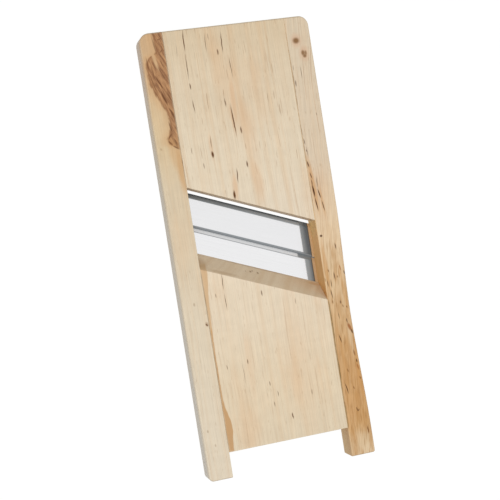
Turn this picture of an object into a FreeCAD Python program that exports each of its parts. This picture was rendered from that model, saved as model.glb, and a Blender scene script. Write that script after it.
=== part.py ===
import FreeCAD, Part
import math
import os

# Wooden kitchen slicer with two skewed blades: two side rails, an upper and a lower board
# butt-jointed between them on dowels, and two steel blades screwed into pockets in the rails.
#
# Frame: X across the slicer, Y along the rails towards the top end, Z up. It lies on the far
# faces of its rails, with the working side down and the side where the slices come out up.
# The origin is the middle of that underside. Millimetres.
#
# Depths called "d" are measured square to the blades, from the upper board's top arris in the
# throat towards the feet.

Vector = FreeCAD.Vector

# Overall
OVERALL_WIDTH = 176.0
THICKNESS = 25.0
LEFT_RAIL_LENGTH = 450.0
RIGHT_RAIL_LENGTH = 454.5
LEFT_RAIL_WIDTH = 24.0
RIGHT_RAIL_WIDTH = 25.6

# Rail outlines
TOP_CORNER_RADIUS = 10.0
LEFT_FOOT_RADIUS = 4.5
RIGHT_FOOT_RADIUS = 2.2
WAIST_DEPTH = 3.0  # hollow planed into the right rail's outer edge
WAIST_FROM_TOP = 190.0
WAIST_LENGTH = 240.0
OUTER_EASE = 1.8  # rounding of the outer arrises, and of the top end
JOINT_EASE = 0.4  # small chamfer each side of every joint line

# Boards and throat
UPPER_BOARD_SHORT_SIDE = 156.1  # along the left rail
FOOT_PROJECTION = 25.6  # left foot beyond the lower board
BLADE_SKEW = math.radians(22.3)
THROAT_WIDTH = 76.8  # between the boards' top arrises, square to the blades
UPPER_END_EASE = 0.7  # rounding of the upper board's arris over the throat
UPPER_END_UNDERCUT = 0.25
LOWER_END_EASE = 0.8  # rounding of the lower board's end between the feet
NOSE_RUN = 16.3  # length of the lower board's sloping end
NOSE_TIP = 0.8  # thickness left at its tip
LANDING_RECESS = 0.6  # lower board's working face below the rails' faces
SLICE_STEP = 1.5  # each working surface lies this much deeper than the next

# Blades
BLADE_WIDTH = 32.8
BLADE_THICKNESS = 1.0
BLADE_LET_IN = 14.0  # how far each end goes into a rail
MOUTH_SETBACK = 3.15  # upper cutting edge from the upper board's top arris
BLADE_OVERLAP = 0.15  # how far the upper blade's rear edge reaches over the lower cutting edge
GROUND_BEVEL = 3.9
EDGE_LAND = 0.12  # thickness left at the cutting edge
REAR_RELIEF_RUN = 2.0
REAR_RELIEF_DROP = 0.6

# Blade screws
SCREW_HEAD_DIAMETER = 6.5
SCREW_SHANK_DIAMETER = 3.2
SCREW_LENGTH = 14.0
SCREW_POINT = 4.0
SCREW_FROM_FRONT = 8.5
SCREW_PITCH = 15.0
SCREW_SLOT_WIDTH = 0.9
SCREW_SLOT_DEPTH = 0.7

# Dowels
DOWEL_DIAMETER = 8.0
DOWEL_LENGTH = 40.0
DOWEL_IN_RAIL = 17.0
DOWEL_CHAMFER = 1.0
DOWEL_END_ROOM = 1.0
DOWELS_PER_JOINT = 3

# Clearances
POCKET_CLEARANCE = 0.3
HOLE_CLEARANCE = 0.05
OVERRUN = 5.0  # how far cutting tools run past the faces they cut

# Places worked out from the sizes above
X_LEFT = -OVERALL_WIDTH / 2
X_RIGHT = OVERALL_WIDTH / 2
X_INNER_LEFT = X_LEFT + LEFT_RAIL_WIDTH
X_INNER_RIGHT = X_RIGHT - RIGHT_RAIL_WIDTH
Y_TOP = max(LEFT_RAIL_LENGTH, RIGHT_RAIL_LENGTH) / 2
Y_LEFT_FOOT = Y_TOP - LEFT_RAIL_LENGTH
Y_RIGHT_FOOT = Y_TOP - RIGHT_RAIL_LENGTH
Y_THROAT_LEFT = Y_TOP - UPPER_BOARD_SHORT_SIDE
Y_LOWER_END = Y_LEFT_FOOT + FOOT_PROJECTION

Z_LOWER_BLADE = LANDING_RECESS  # outer face of the lower blade, level with the lower board
Z_UPPER_BLADE = Z_LOWER_BLADE + SLICE_STEP
Z_UPPER_BOARD = Z_UPPER_BLADE + SLICE_STEP

D_UPPER_BLADE = MOUTH_SETBACK
D_LOWER_BLADE = D_UPPER_BLADE + BLADE_WIDTH - BLADE_OVERLAP
BLADES = {
    "upper_blade": (D_UPPER_BLADE, Z_UPPER_BLADE),
    "lower_blade": (D_LOWER_BLADE, Z_LOWER_BLADE),
}


def skew_y(x, d):
    """Y of the point at x that lies d below the throat's upper arris, square to the blades."""
    return Y_THROAT_LEFT - (x - X_INNER_LEFT) * math.tan(BLADE_SKEW) - d / math.cos(BLADE_SKEW)


def skew_prism(profile, x_from, x_to):
    """Sweep a (d, z) profile along the blades' direction, with its ends parallel to the rails."""
    points = [Vector(x_from, skew_y(x_from, d), z) for d, z in profile]
    face = Part.Face(Part.makePolygon(points + points[:1]))
    run = x_to - x_from
    return face.extrude(Vector(run, -run * math.tan(BLADE_SKEW), 0))


def flat_edges(shape, z, wanted):
    """Edges that lie wholly in the plane at height z and pass the test wanted(box)."""
    found = []
    for edge in shape.Edges:
        box = edge.BoundBox
        if abs(box.ZMin - z) < 0.01 and abs(box.ZMax - z) < 0.01 and wanted(box):
            found.append(edge)
    return found


def rail_outline(x_inner, x_outer, y_foot, foot_radius, waist):
    """Closed outline of a rail: straight inner edge, rounded outer corners, optional waist."""
    out = 1 if x_outer > x_inner else -1
    diagonal = 1 - math.sqrt(0.5)
    top_r = TOP_CORNER_RADIUS
    foot_r = foot_radius
    top_mid = Vector(x_outer - out * top_r * diagonal, Y_TOP - top_r * diagonal, 0)
    foot_mid = Vector(x_outer - out * foot_r * diagonal, y_foot + foot_r * diagonal, 0)
    inner_top = Vector(x_inner, Y_TOP, 0)
    top_in = Vector(x_outer - out * top_r, Y_TOP, 0)
    top_out = Vector(x_outer, Y_TOP - top_r, 0)
    foot_out = Vector(x_outer, y_foot + foot_r, 0)
    foot_in = Vector(x_outer - out * foot_r, y_foot, 0)
    inner_foot = Vector(x_inner, y_foot, 0)

    edges = [Part.LineSegment(inner_top, top_in), Part.Arc(top_in, top_mid, top_out)]
    if waist:
        waist_top = Vector(x_outer, Y_TOP - WAIST_FROM_TOP, 0)
        waist_mid = Vector(x_outer - out * WAIST_DEPTH, waist_top.y - WAIST_LENGTH / 2, 0)
        waist_end = Vector(x_outer, waist_top.y - WAIST_LENGTH, 0)
        along = Vector(0, -WAIST_LENGTH, 0)
        hollow = Part.BSplineCurve()
        hollow.interpolate(
            Points=[waist_top, waist_mid, waist_end], InitialTangent=along, FinalTangent=along
        )
        edges += [
            Part.LineSegment(top_out, waist_top),
            hollow,
            Part.LineSegment(waist_end, foot_out),
        ]
    else:
        edges.append(Part.LineSegment(top_out, foot_out))
    edges += [
        Part.Arc(foot_out, foot_mid, foot_in),
        Part.LineSegment(foot_in, inner_foot),
        Part.LineSegment(inner_foot, inner_top),
    ]
    return Part.Wire([edge.toShape() for edge in edges])


def make_rail(x_inner, x_outer, y_foot, foot_radius, waist):
    """A side rail with eased arrises, before its pockets and holes are cut."""
    outline = rail_outline(x_inner, x_outer, y_foot, foot_radius, waist)
    rail = Part.Face(outline).extrude(Vector(0, 0, THICKNESS))

    def on_inner_edge(box):
        return abs(box.XMin - x_inner) < 0.01 and abs(box.XMax - x_inner) < 0.01

    outer = [
        edge
        for z in (0, THICKNESS)
        for edge in flat_edges(rail, z, lambda box: not on_inner_edge(box))
    ]
    rail = rail.makeFillet(OUTER_EASE, outer)
    inner = [edge for z in (0, THICKNESS) for edge in flat_edges(rail, z, on_inner_edge)]
    return rail.makeChamfer(JOINT_EASE, inner)


def make_board_blank(y_low, y_high, z_low):
    """A square board between the rails, with the chamfers that show as joint lines."""
    width = X_INNER_RIGHT - X_INNER_LEFT
    blank = Part.makeBox(
        width, y_high - y_low, THICKNESS - z_low, Vector(X_INNER_LEFT, y_low, z_low)
    )

    def runs_along_rails(box):
        return box.XLength < 0.01

    sides = [edge for z in (z_low, THICKNESS) for edge in flat_edges(blank, z, runs_along_rails)]
    return blank.makeChamfer(JOINT_EASE, sides)


def across_boards(profile):
    """A (d, z) profile swept past both side faces of the boards."""
    return skew_prism(profile, X_INNER_LEFT - OVERRUN, X_INNER_RIGHT + OVERRUN)


def is_skewed(box):
    """True for the arris of a skewed end."""
    return box.XLength > OVERALL_WIDTH / 2 and box.YLength > 1


def ease_square_end(board, y_end, heights, radius):
    """Round the arrises across a board's square end."""

    def on_end(box):
        return abs(box.YMin - y_end) < 0.01 and abs(box.YMax - y_end) < 0.01 and box.XLength > 1

    edges = [edge for z in heights for edge in flat_edges(board, z, on_end)]
    return board.makeFillet(radius, edges)


def make_upper_board():
    """The board above the throat: it ends square to its face but for a slight undercut."""
    blank = make_board_blank(skew_y(X_INNER_RIGHT, 0) - OVERRUN, Y_TOP, Z_UPPER_BOARD)
    far = -(OVERALL_WIDTH + LEFT_RAIL_LENGTH)
    end_profile = [
        (UPPER_END_EASE, THICKNESS),
        (UPPER_END_EASE - UPPER_END_UNDERCUT, Z_UPPER_BOARD),
        (far, Z_UPPER_BOARD),
        (far, THICKNESS),
    ]
    board = blank.common(across_boards(end_profile))
    board = board.makeFillet(UPPER_END_EASE, flat_edges(board, THICKNESS, is_skewed))
    return ease_square_end(board, Y_TOP, (Z_UPPER_BOARD, THICKNESS), OUTER_EASE)


def make_lower_board():
    """The board below the throat: a long sloping end, rebated below for the lower blade."""
    nose_d = THROAT_WIDTH - NOSE_RUN
    blank = make_board_blank(Y_LOWER_END, skew_y(X_INNER_LEFT, nose_d) + OVERRUN, LANDING_RECESS)
    seat_z = Z_LOWER_BLADE + BLADE_THICKNESS
    rebate_d = D_LOWER_BLADE + BLADE_WIDTH + POCKET_CLEARANCE
    far = OVERALL_WIDTH + RIGHT_RAIL_LENGTH
    profile = [
        (THROAT_WIDTH, THICKNESS),
        (nose_d, seat_z + NOSE_TIP),
        (nose_d, seat_z),
        (rebate_d, seat_z),
        (rebate_d, LANDING_RECESS),
        (far, LANDING_RECESS),
        (far, THICKNESS),
    ]
    board = blank.common(across_boards(profile))
    return ease_square_end(board, Y_LOWER_END, (LANDING_RECESS, THICKNESS), LOWER_END_EASE)


def make_blade(front_d, z_outer):
    """A flat blade: ground bevel towards the upper board, small relief along its rear edge."""
    z_top = z_outer + BLADE_THICKNESS
    rear_d = front_d + BLADE_WIDTH
    profile = [
        (front_d, z_outer),
        (front_d, z_outer + EDGE_LAND),
        (front_d + GROUND_BEVEL, z_top),
        (rear_d - REAR_RELIEF_RUN, z_top),
        (rear_d, z_top - REAR_RELIEF_DROP),
        (rear_d, z_outer),
    ]
    return skew_prism(profile, X_INNER_LEFT - BLADE_LET_IN, X_INNER_RIGHT + BLADE_LET_IN)


def blade_pocket(front_d, z_outer):
    """The space cut into both rails for a blade's ends, open on the working side."""
    z_top = z_outer + BLADE_THICKNESS
    front = front_d - POCKET_CLEARANCE
    rear = front_d + BLADE_WIDTH + POCKET_CLEARANCE
    profile = [(front, -OVERRUN), (front, z_top), (rear, z_top), (rear, -OVERRUN)]
    reach = BLADE_LET_IN + POCKET_CLEARANCE
    return skew_prism(profile, X_INNER_LEFT - reach, X_INNER_RIGHT + reach)


def turned_screw(place, clearance, below):
    """A countersunk screw pointing up from its head's face at place, reaching below that face."""
    x, y, z = place
    head_r = SCREW_HEAD_DIAMETER / 2 + clearance
    shank_r = SCREW_SHANK_DIAMETER / 2 + clearance
    cone = (SCREW_HEAD_DIAMETER - SCREW_SHANK_DIAMETER) / 2
    profile = [
        (0, -below),
        (head_r, -below),
        (head_r, 0),
        (shank_r, cone),
        (shank_r, SCREW_LENGTH - SCREW_POINT),
        (0, SCREW_LENGTH + clearance),
    ]
    if not below:
        profile = profile[:2] + profile[3:]
    points = [Vector(x + radius, y, z + height) for radius, height in profile]
    face = Part.Face(Part.makePolygon(points + points[:1]))
    return face.revolve(Vector(x, y, z), Vector(0, 0, 1), 360)


def make_screw(place):
    """A slotted countersunk wood screw."""
    x, y, z = place
    slot = Part.makeBox(
        SCREW_HEAD_DIAMETER * 2,
        SCREW_SLOT_WIDTH,
        SCREW_SLOT_DEPTH + OVERRUN,
        Vector(x - SCREW_HEAD_DIAMETER, y - SCREW_SLOT_WIDTH / 2, z - OVERRUN),
    )
    return turned_screw(place, 0, 0).cut(slot)


def screw_hole(place):
    """The countersunk hole that a blade screw goes through."""
    return turned_screw(place, HOLE_CLEARANCE, OVERRUN)


def screw_places():
    """Name and head centre of each blade screw: two at each end of each blade."""
    places = {}
    for blade, (front_d, z_outer) in BLADES.items():
        ends = {
            "left": X_INNER_LEFT - BLADE_LET_IN / 2,
            "right": X_INNER_RIGHT + BLADE_LET_IN / 2,
        }
        for side, x in ends.items():
            for row, name in enumerate(("front", "rear")):
                d = front_d + SCREW_FROM_FRONT + row * SCREW_PITCH
                places[f"{blade}_screw_{side}_{name}"] = (x, skew_y(x, d), z_outer)
    return places


def dowel_rod(x_joint, y, side, clearance, end_room):
    """A plain rod across a joint, going DOWEL_IN_RAIL and the end room into the rail."""
    start = x_joint + side * (DOWEL_IN_RAIL + end_room)
    return Part.makeCylinder(
        DOWEL_DIAMETER / 2 + clearance,
        DOWEL_LENGTH + 2 * end_room,
        Vector(start, y, THICKNESS / 2),
        Vector(-side, 0, 0),
    )


def make_dowel(place):
    """A dowel with chamfered ends."""
    rod = dowel_rod(*place, 0, 0)
    rims = [edge for edge in rod.Edges if edge.BoundBox.XLength < 0.01]
    return rod.makeChamfer(DOWEL_CHAMFER, rims)


def dowel_hole(place):
    """The hole for a dowel, through the joint into both pieces."""
    return dowel_rod(*place, HOLE_CLEARANCE, DOWEL_END_ROOM)


def dowel_places():
    """Name, joint, height along the rail and rail side of each dowel, evenly shared out."""
    spans = {
        "upper_left": (X_INNER_LEFT, -1, skew_y(X_INNER_LEFT, 0), Y_TOP),
        "upper_right": (X_INNER_RIGHT, 1, skew_y(X_INNER_RIGHT, 0), Y_TOP),
        "lower_left": (X_INNER_LEFT, -1, Y_LOWER_END, skew_y(X_INNER_LEFT, THROAT_WIDTH)),
        "lower_right": (X_INNER_RIGHT, 1, Y_LOWER_END, skew_y(X_INNER_RIGHT, THROAT_WIDTH)),
    }
    places = {}
    for joint, (x, side, y_low, y_high) in spans.items():
        pitch = (y_high - y_low) / DOWELS_PER_JOINT
        for number in range(DOWELS_PER_JOINT):
            places[f"dowel_{joint}_{number + 1}"] = (x, y_low + (number + 0.5) * pitch, side)
    return places


def cut_all(shape, tools):
    """Cut every tool that reaches the shape."""
    for tool in tools:
        if shape.BoundBox.intersect(tool.BoundBox):
            shape = shape.cut(tool)
    return shape.removeSplitter()


def build():
    """All sub-parts by node name."""
    screws = screw_places()
    dowels = dowel_places()
    screw_holes = [screw_hole(place) for place in screws.values()]
    dowel_holes = [dowel_hole(place) for place in dowels.values()]
    pockets = [blade_pocket(*blade) for blade in BLADES.values()]

    left_rail = make_rail(X_INNER_LEFT, X_LEFT, Y_LEFT_FOOT, LEFT_FOOT_RADIUS, False)
    right_rail = make_rail(X_INNER_RIGHT, X_RIGHT, Y_RIGHT_FOOT, RIGHT_FOOT_RADIUS, True)
    nodes = {
        "left_rail": cut_all(left_rail, pockets + screw_holes + dowel_holes),
        "right_rail": cut_all(right_rail, pockets + screw_holes + dowel_holes),
        "upper_board": cut_all(make_upper_board(), dowel_holes),
        "lower_board": cut_all(make_lower_board(), dowel_holes),
    }
    for name, blade in BLADES.items():
        nodes[name] = cut_all(make_blade(*blade), screw_holes)
    for name, place in screws.items():
        nodes[name] = make_screw(place)
    for name, place in dowels.items():
        nodes[name] = make_dowel(place)
    return nodes


os.makedirs("parts", exist_ok=True)
for node, shape in build().items():
    if not shape.isValid() or len(shape.Solids) != 1:
        raise ValueError(f"{node}: {len(shape.Solids)} solids, valid {shape.isValid()}")
    shape.Solids[0].exportStep(f"parts/{node}.step")
    box = shape.BoundBox
    print(
        f"{node}: {shape.Volume:.1f} mm3, X {box.XMin:.2f}..{box.XMax:.2f}, "
        f"Y {box.YMin:.2f}..{box.YMax:.2f}, Z {box.ZMin:.2f}..{box.ZMax:.2f}"
    )
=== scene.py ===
"""Looks of the wooden two-blade slicer: its woods, steels, screws and dowels, its light and camera.

Lengths are metres in the CAD frame, unless a name ends in _mm or a docstring says millimetres: X
across the slicer, Y along the rails towards the top end, Z up, out of the side where the slices come
out.
"""

import logging
import math
from dataclasses import dataclass, field
from enum import Enum
from typing import Any

import bpy
from mathutils import Matrix, Vector


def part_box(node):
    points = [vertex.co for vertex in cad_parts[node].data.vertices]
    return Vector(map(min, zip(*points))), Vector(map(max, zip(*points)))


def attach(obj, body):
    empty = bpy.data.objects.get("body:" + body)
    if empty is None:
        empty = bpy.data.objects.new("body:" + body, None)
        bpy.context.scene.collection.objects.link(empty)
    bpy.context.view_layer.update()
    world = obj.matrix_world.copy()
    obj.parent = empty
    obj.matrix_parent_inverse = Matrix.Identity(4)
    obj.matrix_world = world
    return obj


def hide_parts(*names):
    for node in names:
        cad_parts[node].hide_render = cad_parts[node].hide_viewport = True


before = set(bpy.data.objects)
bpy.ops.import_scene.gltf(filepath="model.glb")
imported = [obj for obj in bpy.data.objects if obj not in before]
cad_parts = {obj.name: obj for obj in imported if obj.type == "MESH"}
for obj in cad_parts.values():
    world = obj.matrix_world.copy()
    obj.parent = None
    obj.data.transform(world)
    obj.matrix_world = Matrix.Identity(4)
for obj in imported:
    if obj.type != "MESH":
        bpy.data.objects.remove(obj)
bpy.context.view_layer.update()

LOG = logging.getLogger("slicer")
MM = 0.001
SOFT_EDGE = 2.9  # how much wider a mark is with its fading rim
TOP_END_MM = 227.25  # where the rails and the upper board end
MARK_BEND = 0.02 * MM  # how far a set of marks bends round the sets before it

Socket = Any
Value = Any
Point = tuple[float, float, float]
Colour = tuple[float, float, float, float]
Stops = tuple[tuple[float, str], ...]
Outline = tuple[tuple[float, float], ...]


def linear(code: str) -> Colour:
    """Turn a display colour into the linear colour that shaders work in.

    Args:
        code: Six hexadecimal digits, red, green and blue.

    Returns:
        Linear red, green, blue and an alpha of 1.
    """
    parts = [int(code[i : i + 2], 16) / 255 for i in (0, 2, 4)]
    red, green, blue = [c / 12.92 if c <= 0.04045 else ((c + 0.055) / 1.055) ** 2.4 for c in parts]
    return (red, green, blue, 1.0)


class SocketKind(Enum):
    """Kinds of socket on a node group."""

    VALUE = "NodeSocketFloat"
    VECTOR = "NodeSocketVector"
    WHOLE = "NodeSocketInt"
    SHAPE = "NodeSocketGeometry"
    FINISH = "NodeSocketMaterial"


class TreeKind(Enum):
    """Kinds of node group."""

    SHADER = "ShaderNodeTree"
    GEOMETRY = "GeometryNodeTree"


class Run(Enum):
    """How a curve runs between its points."""

    SMOOTH = "AUTO"
    STRAIGHT = "VECTOR"


class Blend(Enum):
    """How one colour is laid over another."""

    COVER = "MIX"
    SHADE = "MULTIPLY"


class Graph:
    """A node tree with short calls for the nodes used here."""

    def __init__(self, tree: bpy.types.NodeTree) -> None:
        """Keep the tree that the calls add to.

        Args:
            tree: Shader or geometry node tree.
        """
        self.tree = tree

    def node(self, kind: str, inputs: dict[Any, Value] | None = None, **settings: Any) -> Any:
        """Add a node, set its options, and link or set its inputs.

        Args:
            kind: Node type name.
            inputs: Socket name or number, with a socket to link or a value to set.
            **settings: Node options by name.

        Returns:
            The new node.
        """
        made = self.tree.nodes.new(kind)
        for name, value in settings.items():
            setattr(made, name, value)
        for key, value in (inputs or {}).items():
            self.feed(made.inputs[key], value)
        return made

    def feed(self, socket: Socket, value: Value) -> None:
        """Link a socket to the given input, or set the input to a plain value.

        Args:
            socket: The input.
            value: The socket to link, or the plain value.
        """
        if isinstance(value, bpy.types.NodeSocket):
            self.tree.links.new(value, socket)
        else:
            socket.default_value = value

    def math(self, operation: str, a: Value, b: Value = 0.0) -> Socket:
        """Add a Math node and return its result."""
        return self.node("ShaderNodeMath", {0: a, 1: b}, operation=operation).outputs[0]

    def plus(self, a: Value, b: Value) -> Socket:
        """Return a + b."""
        return self.math("ADD", a, b)

    def minus(self, a: Value, b: Value) -> Socket:
        """Return a - b."""
        return self.math("SUBTRACT", a, b)

    def times(self, a: Value, b: Value) -> Socket:
        """Return a * b."""
        return self.math("MULTIPLY", a, b)

    def over(self, a: Value, b: Value) -> Socket:
        """Return a / b."""
        return self.math("DIVIDE", a, b)

    def vector_math(self, operation: str, a: Value, b: Value) -> Socket:
        """Add a Vector Math node and return its vector."""
        return self.node("ShaderNodeVectorMath", {0: a, 1: b}, operation=operation).outputs[0]

    def length(self, vector: Value) -> Socket:
        """Return the length of a vector."""
        return self.node("ShaderNodeVectorMath", {0: vector}, operation="LENGTH").outputs["Value"]

    def ease(
        self, value: Value, low: Value, high: Value, start: Value = 0.0, end: Value = 1.0
    ) -> Socket:
        """Carry value from low..high to start..end along a smooth step.

        Args:
            value: What is looked at.
            low: Where the result is start.
            high: Where the result is end.
            start: Result at low.
            end: Result at high.

        Returns:
            The eased value.
        """
        inputs = {"Value": value, "From Min": low, "From Max": high, "To Min": start, "To Max": end}
        return self.node("ShaderNodeMapRange", inputs, interpolation_type="SMOOTHSTEP").outputs[0]

    def mix(self, factor: Value, a: Value, b: Value, blend: Blend = Blend.COVER) -> Socket:
        """Mix two colours.

        Args:
            factor: Share of the second colour.
            a: First colour.
            b: Second colour.
            blend: How the second is laid over the first.

        Returns:
            The mixed colour.
        """
        inputs = {0: factor, 6: a, 7: b}
        made = self.node("ShaderNodeMix", inputs, data_type="RGBA", blend_type=blend.value)
        return made.outputs[2]

    def shaded(self, colour: Value, shade: Value) -> Socket:
        """Return a colour made lighter or darker by a value."""
        return self.mix(1.0, colour, self.join(shade, shade, shade), Blend.SHADE)

    def noise(self, vector: Value, scale: Point, detail: float = 2.0, rough: float = 0.5) -> Socket:
        """Noise from 0 to 1 with its own scale along each axis.

        Args:
            vector: Coordinates in metres.
            scale: Waves per metre along X, Y and Z.
            detail: Finer octaves on top.
            rough: How strong the finer octaves are.

        Returns:
            The noise value.
        """
        at = self.node("ShaderNodeMapping", {"Vector": vector, "Scale": scale}).outputs[0]
        inputs = {"Vector": at, "Scale": 1.0, "Detail": detail, "Roughness": rough}
        return self.node("ShaderNodeTexNoise", inputs).outputs[0]

    def swing(self, vector: Value, scale: Point, detail: float = 2.0, rough: float = 0.5) -> Socket:
        """Noise from -0.5 to 0.5, with the same Args as noise."""
        return self.minus(self.noise(vector, scale, detail, rough), 0.5)

    def noise_along(self, distance: Value, detail: float, rough: float) -> Socket:
        """One-dimensional noise from 0 to 1 along a distance."""
        inputs = {"W": distance, "Scale": 1.0, "Detail": detail, "Roughness": rough}
        return self.node("ShaderNodeTexNoise", inputs, noise_dimensions="1D").outputs[0]

    def split(self, vector: Value) -> tuple[Socket, Socket, Socket]:
        """Return the X, Y and Z of a vector."""
        parts = self.node("ShaderNodeSeparateXYZ", {0: vector}).outputs
        return parts[0], parts[1], parts[2]

    def join(self, x: Value, y: Value, z: Value) -> Socket:
        """Return the vector with these X, Y and Z."""
        return self.node("ShaderNodeCombineXYZ", {0: x, 1: y, 2: z}).outputs[0]

    def ramp(self, factor: Value, stops: Stops) -> Socket:
        """Colour ramp through display colours.

        Args:
            factor: Place on the ramp, 0 to 1.
            stops: Place and colour code of each stop, in order.

        Returns:
            The colour.
        """
        node = self.node("ShaderNodeValToRGB", {0: factor})
        ramp = node.color_ramp
        ramp.interpolation = "EASE"
        while len(ramp.elements) > 1:
            ramp.elements.remove(ramp.elements[-1])
        ramp.elements[0].position = stops[0][0]
        ramp.elements[0].color = linear(stops[0][1])
        for place, code in stops[1:]:
            ramp.elements.new(place).color = linear(code)
        return node.outputs[0]

    def curve(self, value: Value, points: Outline, run: Run = Run.SMOOTH) -> Socket:
        """Look a value up on a curve through given points.

        Args:
            value: Place on the curve, 0 to 1.
            points: Points of the curve, from left to right, both numbers from 0 to 1.
            run: How the curve runs between them.

        Returns:
            The height of the curve there.
        """
        node = self.node("ShaderNodeFloatCurve", {"Value": value})
        line = node.mapping.curves[0]
        for number, place in enumerate(points):
            if number < 2:
                line.points[number].location = place
            else:
                line.points.new(*place)
        for point in line.points:
            point.handle_type = run.value
        node.mapping.update()
        return node.outputs[0]

    def group(self, tree: bpy.types.NodeTree, inputs: dict[str, Value]) -> Any:
        """Place a shader node group and feed its inputs.

        Args:
            tree: The group.
            inputs: Value of each input by name.

        Returns:
            The outputs of the group's node.
        """
        made = self.node("ShaderNodeGroup", node_tree=tree)
        for name, value in inputs.items():
            self.feed(made.inputs[name], value)
        return made.outputs


class Surface(Graph):
    """A material under construction."""

    def __init__(self, name: str) -> None:
        """Start an empty material.

        Args:
            name: Name of the material.
        """
        self.material = bpy.data.materials.new(name)
        self.material.use_nodes = True
        self.material.node_tree.nodes.clear()
        super().__init__(self.material.node_tree)

    def object_place(self) -> Socket:
        """Return a point's place in the piece's own coordinates."""
        return self.node("ShaderNodeTexCoord").outputs["Object"]

    def true_normal(self) -> tuple[Socket, Socket, Socket]:
        """Return the X, Y and Z of the way that the surface faces."""
        return self.split(self.node("ShaderNodeNewGeometry").outputs["True Normal"])

    def close(
        self, colour: Value, rough: Value, height: Socket, bump: tuple[float, float],
        own: dict[str, Value],
    ) -> bpy.types.Material:
        """End the material with its one shader.

        Args:
            colour: Base colour.
            rough: Roughness.
            height: Relief, from 0 to 1.
            bump: Strength of the relief, and its depth in millimetres.
            own: The shader's other inputs by name.

        Returns:
            The material.
        """
        relief = {"Height": height, "Strength": bump[0], "Distance": bump[1] * MM}
        shader = self.node("ShaderNodeBsdfPrincipled", {
            "Base Color": colour,
            "Roughness": rough,
            "Normal": self.node("ShaderNodeBump", relief).outputs[0],
            **own,
        })
        self.node("ShaderNodeOutputMaterial", {"Surface": shader.outputs[0]})
        return self.material


@dataclass
class GroupTree:
    """A node group under construction: its tree, its input node and its output node."""

    name: str
    kind: TreeKind
    inputs: dict[str, SocketKind]
    outputs: dict[str, SocketKind]
    tree: bpy.types.NodeTree = field(init=False)
    graph: Graph = field(init=False)
    source: Any = field(init=False)
    sink: Any = field(init=False)

    def __post_init__(self) -> None:
        """Make the tree, its sockets and its two end nodes."""
        self.tree = bpy.data.node_groups.new(self.name, self.kind.value)
        for name, kind in self.inputs.items():
            self.tree.interface.new_socket(name, in_out="INPUT", socket_type=kind.value)
        for name, kind in self.outputs.items():
            self.tree.interface.new_socket(name, in_out="OUTPUT", socket_type=kind.value)
        self.graph = Graph(self.tree)
        self.source = self.graph.node("NodeGroupInput").outputs
        self.sink = self.graph.node("NodeGroupOutput").inputs

    def put(self, name: str, value: Value) -> None:
        """Send a value out of the group."""
        self.graph.feed(self.sink[name], value)


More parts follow.
